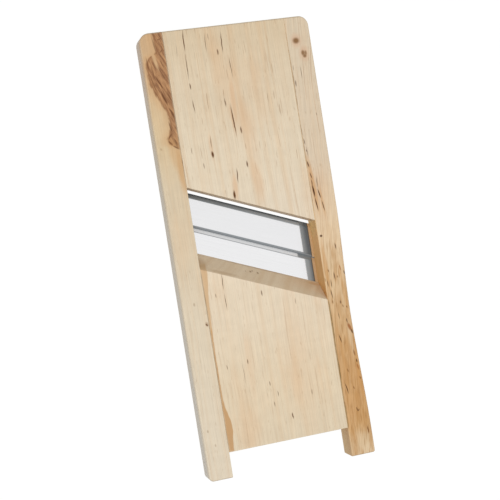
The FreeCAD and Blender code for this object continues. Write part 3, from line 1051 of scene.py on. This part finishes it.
    def lower_board(self) -> WoodFinish:
        """Pale board with a tan streak down its left joint, and a nose with marks and painted shade.

        Returns:
            The finish.
        """
        streak = EdgeStreak(-64, -200, -70, 7.2, (
            (0.0, 0.7), (0.12, 0.84), (0.2, 1.0), (0.3, 0.76), (0.42, 0.35), (0.67, 0.26), (1.0, 0.36),
        ), "C29460", 0.85)
        paler = EdgeStreak(-64, -78, -6, 8.0, (
            (0.0, 0.3), (0.2, 0.36), (0.5, 0.52), (0.7, 0.72), (0.9, 0.86), (1.0, 0.95),
        ), "D0A878", 0.75)
        seam = EdgeStreak(-64, -200, -12, 0.9, (
            (0.0, 0.8), (0.2, 0.5), (0.4, 0.9), (0.6, 0.6), (0.8, 1.0), (1.0, 0.7),
        ), "80603A", 0.7, 0.4, 0.8)
        bands = Marks("E0B78E", (
            Fleck(20, -40, 24, -190, 12.0, 0.15, 9.0), Fleck(-28, -70, -30, -170, 3.6, 0.22, 9.0),
            Fleck(46, 0, 58, -40, 3.0, 0.4, 9.0),
        ))
        lines = Marks("5E3610", (
            Fleck(-43.1, -17.6, -43.4, -37.8, 0.4, 0.8), Fleck(-43.4, -37.8, -43.0, -58.2, 0.4, 0.75),
            Fleck(-52.3, -37.7, -52.4, -42.8, 0.5, 0.6), Fleck(-5.2, -42.1, -5.1, -48.9, 0.6, 0.85),
            Fleck(-30.5, -108, -30.5, -114, 0.55, 0.8), Fleck(-52.4, -110, -52.4, -116, 0.4, 0.65),
            Fleck(-11.8, -134, -11.6, -140, 0.5, 0.75), Fleck(-4.8, -145, -4.5, -152, 0.42, 0.7),
            Fleck(-10, -155, -9.8, -161.5, 0.45, 0.65), Fleck(6.5, -169.5, 6.8, -177.5, 0.6, 0.9),
            Fleck(-36.4, -108, -36.3, -136, 0.3, 0.5),
            Fleck(28.2, -56, 28.3, -63, 0.5, 0.5), Fleck(30.8, -150, 30.9, -157, 0.5, 0.5),
            Fleck(62.4, -60, 62.4, -190, 0.35, 0.5),
            Fleck(-9.8, -21.8, -9.6, -23.4, 1.1, 0.9, 3.0, 13.8),
            Fleck(-7.7, -21.6, -7.2, -23.0, 0.8, 0.8, 3.0, 15.3),
            Fleck(-2.6, -24.2, -2.0, -26.2, 1.1, 0.95, 3.0, 14.2),
            Fleck(-15.2, -20.8, -14.8, -21.8, 0.7, 0.7, 2.0, 12.9),
            # Painted shade: a dark line along the foot of the nose bevel, where it meets the lower
            # blade.
            Fleck(-64, 5.2, 62.4, -46.6, 0.7, 0.5, 2.0, 21.5),
        ))
        # Painted shade in the nose bevel's left corner by the rail, and along the bevel's upper edge.
        corner = Marks("A27A4E", (
            Fleck(-60, 0, -60.5, -13, 5.5, 0.5, 14.0, 8.0),
            Fleck(-58, -12, -20, -26, 2.6, 0.4, 4.0, 2.5),
        ))
        blotch = Marks("C88A3C", (
            Fleck(49, -43, 63, -48.5, 3.0, 0.5, 4.0, 18.5),
            Fleck(58, -48, 64, -66, 3.4, 0.1, 14.0, 10.0),
        ))
        along = (
            (0.0, "E0CFB3"), (0.25, "E3D1B4"), (0.7, "E7D6BC"), (1.0, "E9D9C0"),
        )
        return WoodFinish(
            "lower_board_wood", along, (-0.16, -0.1), streaks=(streak, paler, seam),
            marks=(bands, corner, blotch, lines), dashes=(self.hair_lines,),
            # The end tone is end grain with painted shade, on the nose bevel and the ends.
            end_grain_shade_strength=0.75, end_grain_shade_tone="C4AA84", line_strength=0.2, band_strength=0.2,
        )

    def finishes(self) -> dict[str, WoodFinish]:
        """Finish of each wooden piece.

        Returns:
            The finishes by node name.
        """
        return {
            "left_rail": self.left_rail(),
            "right_rail": self.right_rail(),
            "upper_board": self.upper_board(),
            "lower_board": self.lower_board(),
        }

    def build(self, effects: WoodEffects) -> None:
        """Dress the four wooden pieces.

        Args:
            effects: Shared shader groups.
        """
        for name, finish in self.finishes().items():
            dress(name, finish.build(effects, *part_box(name)))


@dataclass(frozen=True)
class PaintedLightBand:
    """A stripe of painted light along a blade, all in millimetres: painted shade, reflection and
    highlight.

    It runs between two distances below the throat's upper arris, from x_from to the right.
    """

    start: float
    end: float
    tone: str
    strength: float = 1.0
    soft: float = 0.25
    x_from: float = -200.0
    x_soft: float = 0.3


@dataclass(frozen=True)
class BladeFinish:
    """How a strip of ground blade steel looks, above with its bands of painted shade, reflection and
    highlight, and on its brushed underside.
    """

    name: str
    origin: tuple[float, float]
    skew: float
    bright: str
    bands: tuple[PaintedLightBand, ...]
    under_dark: str = "9DA3A8"
    under_bright: str = "DDE0E2"
    brush_waves: Point = (25.0, 2600.0, 400.0)
    cloud_waves: Point = (60.0, 60.0, 60.0)

    def build(self) -> bpy.types.Material:
        """Make the material.

        Returns:
            The material.
        """
        g = Surface(self.name)
        place = g.object_place()
        local = g.node("ShaderNodeMapping", {
            "Vector": place,
            "Location": (*self.origin, 0.0),
            "Rotation": (0.0, 0.0, -self.skew),
        }, vector_type="TEXTURE").outputs[0]
        _, across, _ = g.split(local)
        x, _, _ = g.split(place)
        depth = g.times(across, -1.0)
        brushed = g.noise(local, self.brush_waves, 3.0, 0.6)
        cloudy = g.noise(local, self.cloud_waves, 2.0)
        colour = g.shaded(linear(self.bright), g.ease(brushed, 0.2, 0.8, 0.965, 1.02))
        _, _, facing = g.true_normal()
        # The painted bands only go on the upper side.
        upward = g.ease(facing, -0.3, 0.0)
        under = g.ease(facing, -0.2, -0.5)
        lines = g.ease(brushed, 0.3, 0.7, 0.2, 0.9)
        worked = g.mix(lines, linear(self.under_dark), linear(self.under_bright))
        colour = g.mix(under, colour, worked)
        # Mask of the painted shade, reflections and highlights. There the steel turns rougher and less
        # metallic, so that the painted colour shows.
        painted_band_mask: Socket = 0.0
        for band in self.bands:
            soft = band.soft * MM
            rise = g.ease(depth, band.start * MM - soft, band.start * MM + soft)
            fall = g.ease(depth, band.end * MM + soft, band.end * MM - soft)
            part = g.times(g.times(rise, fall), band.strength)
            sideways = g.ease(x, (band.x_from - band.x_soft) * MM, (band.x_from + band.x_soft) * MM)
            part = g.times(g.times(part, sideways), upward)
            colour = g.mix(part, colour, linear(band.tone))
            painted_band_mask = g.math("MAXIMUM", painted_band_mask, part)
        rough = g.plus(g.ease(brushed, 0.2, 0.8, 0.14, 0.22), g.times(cloudy, 0.05))
        rough = g.plus(rough, g.times(painted_band_mask, 0.2))
        metal = g.ease(painted_band_mask, 0.0, 1.0, 1.0, 0.25)
        return g.close(colour, rough, brushed, (0.06, 0.01), {"Metallic": metal})


@dataclass
class Blades:
    """The two blades: where they lie across the throat, and the finish of each.

    Places across a blade, and along it for the rail's shade and glow, are in millimetres.
    """

    skew: float = math.radians(22.3)
    throat_left: tuple[float, float] = (-64.0 * MM, 71.15 * MM)
    upper_front: float = 3.15
    lower_front: float = 35.8
    ground: float = 3.9
    rail_shade_x: float = 52.3
    # where the painted reflection of the right rail begins
    rail_glow_x: float = 60.4

    def upper(self) -> BladeFinish:
        """Polished blade with painted shade and reflection along its ground edge, painted shadow along
        its rear edge, and painted shade and reflection of the right rail near its right end.

        Returns:
            The finish.
        """
        front, rear = self.upper_front, self.lower_front + 0.15
        return BladeFinish("upper_blade_steel", self.throat_left, self.skew, "F2F2F3", (
            # Painted reflection of the upper board's end on the ground edge, lighter to the right.
            PaintedLightBand(front - 1, front + self.ground + 0.95, "80868A"),
            PaintedLightBand(front + 1.6, front + self.ground + 0.95, "AEB3B7", 0.75, 0.5, 0.0, 62.0),
            # Painted shade along the cutting edge, under the throat's upper arris.
            PaintedLightBand(front - 1, front + 1.9, "5F666C", 0.8, 0.8),
            PaintedLightBand(front - 1, front + 0.75, "262B2F", 1.0, 0.35),
            # Painted shadow along the rear edge, where it steps down to the lower blade.
            PaintedLightBand(rear - 2.3, rear + 1, "858B90", 0.95, 0.35),
            PaintedLightBand(rear - 0.4, rear + 1, "6B7176", 1.0, 0.25),
            # Painted shade of the right rail.
            PaintedLightBand(front, rear - 1.2, "7F868A", 0.9, 0.3, self.rail_shade_x - 1.0, 0.7),
            PaintedLightBand(front, rear - 1.2, "596168", 0.85, 0.3, self.rail_shade_x + 2.5, 2.6),
            # Painted shade where the blade meets the right rail, then the rail's painted reflection.
            PaintedLightBand(front, rear + 1, "4A4038", 0.75, 0.3, self.rail_glow_x - 1.1, 0.4),
            PaintedLightBand(front, rear + 1, "D8B88E", 0.95, 0.3, self.rail_glow_x - 0.3, 0.4),
        ))

    def lower(self) -> BladeFinish:
        """Polished blade with a painted reflection on its ground edge, painted shade along its front and
        in the crease behind the ground edge, and painted shade and reflection of the right rail near its
        right end.

        Returns:
            The finish.
        """
        front = self.lower_front
        return BladeFinish("lower_blade_steel", self.throat_left, self.skew, "F5F5F6", (
            # Painted reflection on the ground edge, painted shade along the front, and a painted shade
            # line in the crease behind the ground edge.
            PaintedLightBand(front - 1, front + self.ground, "D0D1D2", 0.7),
            PaintedLightBand(front - 1, front + 0.3, "7C8287", 0.8, 0.2),
            PaintedLightBand(front + self.ground - 0.3, front + self.ground + 0.5, "989CA0", 0.9, 0.25),
            # Painted shade of the right rail, on the ground edge and on the flat behind it.
            PaintedLightBand(front, front + self.ground, "7A8084", 0.95, 0.3, self.rail_shade_x - 7.2, 1.0),
            PaintedLightBand(front + self.ground, front + 40, "8C969C", 0.9, 0.3, self.rail_shade_x - 0.3, 0.8),
            PaintedLightBand(front + self.ground, front + 40, "636C72", 0.85, 0.3, self.rail_shade_x + 4.5, 2.5),
            # Painted shade where the blade meets the right rail, then the rail's painted reflection.
            PaintedLightBand(front + 1, front + 40, "4A4038", 0.75, 0.3, self.rail_glow_x - 1.6, 0.4),
            PaintedLightBand(front + 1, front + 40, "D6B68C", 0.95, 0.3, self.rail_glow_x - 0.8, 0.4),
        ))

    def build(self) -> None:
        """Dress both blades."""
        dress("upper_blade", self.upper().build())
        dress("lower_blade", self.lower().build())


@dataclass(frozen=True)
class TurnedSteel:
    """Plain screw steel: turned rings on the head, painted shade in the slot."""

    name: str = "screw_steel_turned"
    bright: str = "C9C8C4"
    # painted shade in the slot
    dark: str = "4A4845"
    stain: str = "8C8880"
    slot_depth: float = 0.7 * MM
    rings_per_metre: float = 9000.0
    stain_waves: Point = (500.0, 500.0, 500.0)

    def build(self, place_name: str) -> bpy.types.Material:
        """Make the material.

        Args:
            place_name: Attribute that holds a point's place on its own screw.

        Returns:
            The material.
        """
        g = Surface(self.name)
        place = g.node("ShaderNodeAttribute", attribute_name=place_name).outputs["Vector"]
        x, y, z = g.split(place)
        radius = g.length(g.join(x, y, 0.0))
        rings = g.noise_along(g.times(radius, self.rings_per_metre), 2.0, 0.6)
        stains = g.noise(place, self.stain_waves, 3.0, 0.6)
        colour = g.shaded(linear(self.bright), g.ease(rings, 0.2, 0.8, 0.86, 1.04))
        colour = g.mix(g.ease(stains, 0.5, 0.8, 0.0, 0.5), colour, linear(self.stain))
        # Painted shade in the slot, darker with depth below the head's face.
        sunk = g.ease(z, 0.1 * MM, self.slot_depth, 0.0, 0.85)
        colour = g.mix(sunk, colour, linear(self.dark))
        rough = g.plus(g.ease(rings, 0.2, 0.8, 0.28, 0.4), g.times(stains, 0.12))
        return g.close(colour, rough, rings, (0.2, 0.02), {"Metallic": 1.0})


@dataclass(frozen=True)
class DowelWood:
    """Plain hardwood, its grain along the dowel."""

    name: str = "dowel_beech"
    ground: str = "D3AE7E"
    dark: str = "B58755"
    pore: str = "8A5F36"
    pith: tuple[float, float] = (0.3, -0.05)
    band_width: float = 1.6 * MM
    wander: float = 0.004

    def build(self, effects: WoodEffects) -> bpy.types.Material:
        """Make the material.

        Args:
            effects: Shared shader groups.

        Returns:
            The material.
        """
        g = Surface(self.name)
        turn = {"Vector": g.object_place(), "Rotation": (0.0, 0.0, math.pi / 2)}
        grain = g.group(effects.grain, {
            "Vector": g.node("ShaderNodeMapping", turn).outputs[0],
            "Pith X": self.pith[0],
            "Pith Z": self.pith[1],
            "Band Width": self.band_width,
            "Wander": self.wander,
        })
        bands = g.ease(grain["Bands"], 0.4, 0.8, 0.0, 0.6)
        colour = g.mix(bands, linear(self.ground), linear(self.dark))
        colour = g.mix(g.times(grain["Pores"], 0.6), colour, linear(self.pore))
        rough = g.ease(grain["Fibre"], 0.2, 0.8, 0.55, 0.7)
        return g.close(colour, rough, grain["Fibre"], (0.3, 0.05), {"Specular IOR Level": 0.3})


class RoundStock:
    """Geometry trees that turn a flat grid into a rod and set one rod on each point."""

    PLACE_NAME = "own_place"
    SHARP_EDGE = math.radians(32)
    WELD = 0.002 * MM
    INPUTS = {"Radius": SocketKind.VALUE, "Length": SocketKind.VALUE, "Around": SocketKind.WHOLE,
              "Rings": SocketKind.WHOLE, "Cut Depth": SocketKind.VALUE, "Seed": SocketKind.WHOLE,
              "Finish": SocketKind.FINISH}

    def _start(self, name: str, extra: dict[str, SocketKind]) -> GroupTree:
        """Start a tree with the shared inputs and some of its own."""
        points = {"Geometry": SocketKind.SHAPE}
        return GroupTree(name, TreeKind.GEOMETRY, {**points, **self.INPUTS, **extra}, points)

    def _sheet(self, group: GroupTree) -> tuple[Socket, Socket, Socket]:
        """Flat unit grid to wrap a rod from.

        Args:
            group: The tree under construction.

        Returns:
            The grid, and the share around and the share along of each of its points.
        """
        g = group.graph
        grid = g.node("GeometryNodeMeshGrid", {
            "Size X": 1.0, "Size Y": 1.0, "Vertices X": group.source["Around"],
            "Vertices Y": group.source["Rings"],
        })
        x, y, _ = g.split(g.node("GeometryNodeInputPosition").outputs[0])
        return grid.outputs["Mesh"], g.plus(x, 0.5), g.plus(y, 0.5)

    def _circle(self, g: Graph, radius: Socket, around: Socket) -> tuple[Socket, Socket]:
        """Place on a circle.

        Args:
            g: The tree's graph.
            radius: Radius of the circle.
            around: Share of a turn.

        Returns:
            The place along the circle's first axis and along its second.
        """
        angle = g.times(around, math.tau)
        return g.times(radius, g.math("COSINE", angle)), g.times(radius, g.math("SINE", angle))

    def _wrap(self, g: Graph, sheet: Socket, place: Socket) -> Socket:
        """Move the sheet's points to their places and close its seam and its poles.

        Args:
            g: The tree's graph.
            sheet: The flat grid.
            place: Where each point goes.

        Returns:
            Mesh of the rod.
        """
        moved = g.node("GeometryNodeSetPosition", {"Geometry": sheet, "Position": place})
        welded = {"Geometry": moved.outputs[0], "Distance": self.WELD}
        return g.node("GeometryNodeMergeByDistance", welded).outputs[0]

    def _finish(self, group: GroupTree, rod: Socket, turn_high: Point) -> None:
        """Set a rod on every point, each turned by chance, and make it all one plain mesh.

        Args:
            group: The tree under construction.
            rod: Mesh of one rod.
            turn_high: Most turn about each axis.
        """
        g, source = group.graph, group.source
        smooth = g.node("GeometryNodeSetShadeSmooth", {"Geometry": rod})
        angle = g.node("GeometryNodeInputMeshEdgeAngle").outputs["Unsigned Angle"]
        sharp = g.node("GeometryNodeSetShadeSmooth", {
            "Geometry": smooth.outputs[0],
            "Selection": g.math("GREATER_THAN", angle, self.SHARP_EDGE),
            "Shade Smooth": False,
        }, domain="EDGE")
        kept = g.node("GeometryNodeStoreNamedAttribute", {
            "Geometry": sharp.outputs[0], "Name": self.PLACE_NAME,
        }, data_type="FLOAT_VECTOR", domain="POINT")
        here = g.node("GeometryNodeInputPosition").outputs[0]
        g.feed(next(i for i in kept.inputs if i.name == "Value" and i.enabled), here)
        chance = g.node("FunctionNodeRandomValue", {
            "Min": (0.0, 0.0, 0.0), "Max": turn_high, "Seed": source["Seed"],
        }, data_type="FLOAT_VECTOR")
        turn = next(o for o in chance.outputs if o.enabled)
        rods = g.node("GeometryNodeInstanceOnPoints", {
            "Points": source["Geometry"], "Instance": kept.outputs[0], "Rotation": turn,
        })
        plain = g.node("GeometryNodeRealizeInstances", {"Geometry": rods.outputs[0]})
        dressed = g.node("GeometryNodeSetMaterial", {
            "Geometry": plain.outputs[0], "Material": source["Finish"],
        })
        group.put("Geometry", dressed.outputs[0])

    def grow(
        self, name: str, points: list[Vector], tree: bpy.types.NodeTree, settings: dict[str, Value]
    ) -> bpy.types.Object:
        """Run a tree on some points and keep the result as a plain mesh object.

        Args:
            name: Name of the new object.
            points: Where the rods go.
            tree: The geometry tree.
            settings: Value of each input by name.

        Returns:
            The new object, at the origin.
        """
        mesh = bpy.data.meshes.new(name + "_points")
        mesh.from_pydata([tuple(point) for point in points], [], [])
        holder = bpy.data.objects.new(name + "_points", mesh)
        bpy.context.scene.collection.objects.link(holder)
        modifier = holder.modifiers.new(name, "NODES")
        modifier.node_group = tree
        for item in tree.interface.items_tree:
            if item.in_out == "INPUT" and item.name in settings:
                modifier[item.identifier] = settings[item.name]
        ready = holder.evaluated_get(bpy.context.evaluated_depsgraph_get())
        grown = bpy.data.meshes.new_from_object(ready)
        grown.name = name
        holder.modifiers.remove(modifier)
        bpy.data.objects.remove(holder)
        piece = bpy.data.objects.new(name, grown)
        bpy.context.scene.collection.objects.link(piece)
        return piece


@dataclass
class BladeScrews(RoundStock):
    """Slotted countersunk wood screws that hold the blades, with a cut thread."""

    head_radius: float = 3.2 * MM
    length: float = 14.0 * MM
    slot_width: float = 0.9 * MM
    slot_depth: float = 0.7 * MM
    thread_pitch: float = 1.4 * MM
    thread_depth: float = 0.36 * MM
    around: int = 33
    rings: int = 101
    seed: int = 11

    def tree(self) -> bpy.types.NodeTree:
        """Geometry tree of the screws, each pointing up from its head.

        Returns:
            The tree.
        """
        value = SocketKind.VALUE
        group = self._start("wood_screws", {"Slot Width": value, "Pitch": value, "Thread Depth": value})
        g, source = group.graph, group.source
        sheet, around, along = self._sheet(group)
        outline = g.curve(along, (
            (0.0, 0.0), (0.05, 0.97), (0.06, 1.0), (0.07, 0.99), (0.12, 0.47), (0.3, 0.47),
            (0.36, 0.37), (0.88, 0.37), (1.0, 0.0),
        ), Run.STRAIGHT)
        rise = g.curve(along, (
            (0.0, 0.0), (0.05, 0.0), (0.06, 0.003), (0.07, 0.008), (0.12, 0.122), (0.3, 0.3),
            (0.36, 0.35), (0.88, 0.87), (1.0, 1.0),
        ), Run.STRAIGHT)
        cut = g.curve(along, ((0.0, 0.0), (0.33, 0.0), (0.4, 1.0), (0.9, 1.0), (1.0, 0.0)), Run.STRAIGHT)
        height = g.times(rise, source["Length"])
        ridge = g.math("PINGPONG", g.minus(g.over(height, source["Pitch"]), around), 0.5)
        ridge = g.times(g.times(ridge, ridge), 4.0)
        thread = g.times(g.times(ridge, source["Thread Depth"]), cut)
        radius = g.plus(g.times(outline, source["Radius"]), thread)
        rod = self._wrap(g, sheet, g.join(*self._circle(g, radius, around), height))
        across = g.times(source["Radius"], 2.6)
        size = g.join(across, source["Slot Width"], g.times(source["Cut Depth"], 2.0))
        bar = g.node("GeometryNodeMeshCube", {"Size": size})
        slotted = g.node("GeometryNodeMeshBoolean", {
            0: rod, 1: bar.outputs[0],
        }, operation="DIFFERENCE", solver="EXACT")
        self._finish(group, slotted.outputs[0], (0.0, 0.0, math.pi))
        return group.tree

    def build(self) -> None:
        """Make all the blade screws as one piece that stands for the plain CAD screws."""
        nodes = sorted(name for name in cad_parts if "_screw_" in name)
        heads = []
        for name in nodes:
            low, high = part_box(name)
            heads.append(Vector(((low.x + high.x) / 2, (low.y + high.y) / 2, low.z)))
        piece = self.grow("blade_screws", heads, self.tree(), {
            "Radius": self.head_radius, "Length": self.length, "Around": self.around,
            "Rings": self.rings, "Cut Depth": self.slot_depth, "Seed": self.seed,
            "Finish": TurnedSteel().build(self.PLACE_NAME), "Slot Width": self.slot_width,
            "Pitch": self.thread_pitch, "Thread Depth": self.thread_depth,
        })
        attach(piece, "root")
        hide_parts(*nodes)
        LOG.info("%s: %d screws, %d faces", piece.name, len(nodes), len(piece.data.polygons))


@dataclass
class JointDowels(RoundStock):
    """Fluted, chamfered dowels across the joints between rails and boards."""

    radius: float = 4.0 * MM
    flutes: int = 20
    flute_depth: float = 0.25 * MM
    rings: int = 21
    seed: int = 5

    def tree(self) -> bpy.types.NodeTree:
        """Geometry tree of the dowels, each lying along X about its point.

        Returns:
            The tree.
        """
        group = self._start("fluted_dowels", {"Flutes": SocketKind.WHOLE})
        g, source = group.graph, group.source
        sheet, around, along = self._sheet(group)
        outline = g.curve(along, (
            (0.0, 0.0), (0.1, 0.75), (0.15, 1.0), (0.85, 1.0), (0.9, 0.75), (1.0, 0.0),
        ), Run.STRAIGHT)
        reach = g.curve(along, (
            (0.0, 0.0), (0.1, 0.0), (0.15, 0.025), (0.85, 0.975), (0.9, 1.0), (1.0, 1.0),
        ), Run.STRAIGHT)
        cut = g.curve(along, (
            (0.0, 0.0), (0.12, 0.0), (0.2, 1.0), (0.8, 1.0), (0.88, 0.0), (1.0, 0.0),
        ), Run.STRAIGHT)
        groove = g.math("PINGPONG", g.times(around, source["Flutes"]), 0.5)
        groove = g.times(g.times(groove, 2.0), source["Cut Depth"])
        radius = g.minus(g.times(outline, source["Radius"]), g.times(groove, cut))
        x = g.times(g.minus(reach, 0.5), source["Length"])
        rod = self._wrap(g, sheet, g.join(x, *self._circle(g, radius, around)))
        self._finish(group, rod, (math.pi, 0.0, 0.0))
        return group.tree

    def build(self, effects: WoodEffects) -> None:
        """Make all the dowels as one piece that stands for the plain CAD dowels.

        Args:
            effects: Shared shader groups.
        """
        nodes = sorted(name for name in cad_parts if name.startswith("dowel_"))
        middles, length = [], 0.0
        for name in nodes:
            low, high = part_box(name)
            middles.append((low + high) / 2)
            length = high.x - low.x
        piece = self.grow("joint_dowels", middles, self.tree(), {
            "Radius": self.radius, "Length": length, "Around": self.flutes * 4 + 1,
            "Rings": self.rings, "Cut Depth": self.flute_depth, "Seed": self.seed,
            "Finish": DowelWood().build(effects), "Flutes": self.flutes,
        })
        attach(piece, "root")
        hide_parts(*nodes)
        LOG.info("%s: %d dowels, %d faces", piece.name, len(nodes), len(piece.data.polygons))


@dataclass
class Studio:
    """Plain pale floor, soft light and the camera."""

    camera_at: Point = (-0.28232, 0.02394, 1.12657)
    camera_forward: Point = (0.23974, -0.02176, -0.97059)
    camera_up: Point = (0.15765, 0.98735, 0.01681)
    lens_mm: float = 81.16
    sensor_mm: float = 36.0
    floor_drop: float = 0.0005
    floor_reach: float = 4.0
    ambient: float = 0.64
    sky_to_gloss: float = 0.93
    floor_to_eye: float = 0.93
    floor_to_gloss: float = 0.8
    floor_share: float = 0.85
    key_watts: float = 19.0
    key_size: float = 1.6
    key_at: Point = (-0.3, -0.2, 2.2)

    def camera(self) -> None:
        """Place the camera with its own turn about the line of sight."""
        data = bpy.data.cameras.new("camera")
        data.lens = self.lens_mm
        data.sensor_width = self.sensor_mm
        data.clip_start = 0.01
        data.clip_end = 20.0
        eye = bpy.data.objects.new("camera", data)
        back = -Vector(self.camera_forward).normalized()
        right = Vector(self.camera_up).cross(back).normalized()
        turn = Matrix((right, back.cross(right), back)).transposed()
        eye.matrix_world = Matrix.Translation(self.camera_at) @ turn.to_4x4()
        bpy.context.scene.collection.objects.link(eye)
        bpy.context.scene.camera = eye

    def world(self) -> None:
        """Even sky: white to the eye, softer as light, and a little softer in reflections."""
        world = bpy.data.worlds.new("sky")
        bpy.context.scene.world = world
        world.use_nodes = True
        world.node_tree.nodes.clear()
        g = Graph(world.node_tree)
        level = self._seen_level(g, 1.0, self.sky_to_gloss, self.ambient)
        sky = g.node("ShaderNodeBackground", {"Color": (1.0, 1.0, 1.0, 1.0), "Strength": level})
        g.node("ShaderNodeOutputWorld", {"Surface": sky.outputs[0]})

    def floor(self) -> None:
        """A plain pale floor just under the slicer."""
        mesh = bpy.data.meshes.new("floor")
        reach, z = self.floor_reach, -self.floor_drop
        corners = [(-reach, -reach, z), (reach, -reach, z), (reach, reach, z), (-reach, reach, z)]
        mesh.from_pydata(corners, [], [(0, 1, 2, 3)])
        floor = bpy.data.objects.new("floor", mesh)
        bpy.context.scene.collection.objects.link(floor)
        g = Surface("floor")
        to_rest = self.ambient * self.floor_share
        level = self._seen_level(g, self.floor_to_eye, self.floor_to_gloss, to_rest)
        glow = g.node("ShaderNodeEmission", {"Color": (1.0, 1.0, 1.0, 1.0), "Strength": level})
        matt = g.node("ShaderNodeBsdfDiffuse", {"Color": (0.1, 0.1, 0.1, 1.0)})
        both = g.node("ShaderNodeAddShader", {0: glow.outputs[0], 1: matt.outputs[0]})
        under = g.node("ShaderNodeNewGeometry").outputs["Backfacing"]
        seen = g.node("ShaderNodeLightPath").outputs["Is Camera Ray"]
        clear = g.node("ShaderNodeBsdfTransparent")
        either = g.node("ShaderNodeMixShader", {
            0: g.times(under, seen), 1: both.outputs[0], 2: clear.outputs[0],
        })
        g.node("ShaderNodeOutputMaterial", {"Surface": either.outputs[0]})
        mesh.materials.append(g.material)

    def _seen_level(self, g: Graph, to_eye: float, to_gloss: float, to_rest: float) -> Socket:
        """Brightness by the kind of ray that meets the surface.

        Args:
            g: The graph that it is worked out in.
            to_eye: Brightness that the camera sees.
            to_gloss: Brightness in reflections.
            to_rest: Brightness as light on other things.

        Returns:
            The brightness.
        """
        path = g.node("ShaderNodeLightPath").outputs
        gloss = g.times(path["Is Glossy Ray"], to_gloss - to_rest)
        eye = g.times(path["Is Camera Ray"], to_eye - to_rest)
        return g.plus(g.plus(gloss, eye), to_rest)

    def key(self) -> None:
        """One large soft light above."""
        data = bpy.data.lights.new("key", "AREA")
        data.shape = "SQUARE"
        data.size = self.key_size
        data.energy = self.key_watts
        lamp = bpy.data.objects.new("key", data)
        lamp.location = self.key_at
        lamp.visible_glossy = False
        lamp.rotation_mode = "QUATERNION"
        lamp.rotation_quaternion = (-lamp.location).to_track_quat("-Z", "Y")
        bpy.context.scene.collection.objects.link(lamp)

    def build(self) -> None:
        """Put up the floor, the light and the camera."""
        bpy.context.scene.view_settings.view_transform = "Standard"
        self.camera()
        self.world()
        self.floor()
        self.key()
        LOG.info("studio and camera are up")


def dress(node: str, material: bpy.types.Material) -> None:
    """Give a CAD piece its material in every slot.

    Args:
        node: Name of the piece.
        material: The material.
    """
    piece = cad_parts[node]
    piece.data.materials.clear()
    piece.data.materials.append(material)
    LOG.info("%s: %s", node, material.name)


def main() -> None:
    """Dress the slicer, build what the CAD only stands in for, and set the scene."""
    logging.basicConfig(level=logging.INFO, format="%(name)s %(message)s")
    effects = WoodEffects()
    Timber().build(effects)
    Blades().build()
    BladeScrews().build()
    JointDowels().build(effects)
    Studio().build()


if __name__ == "__main__":
    main()
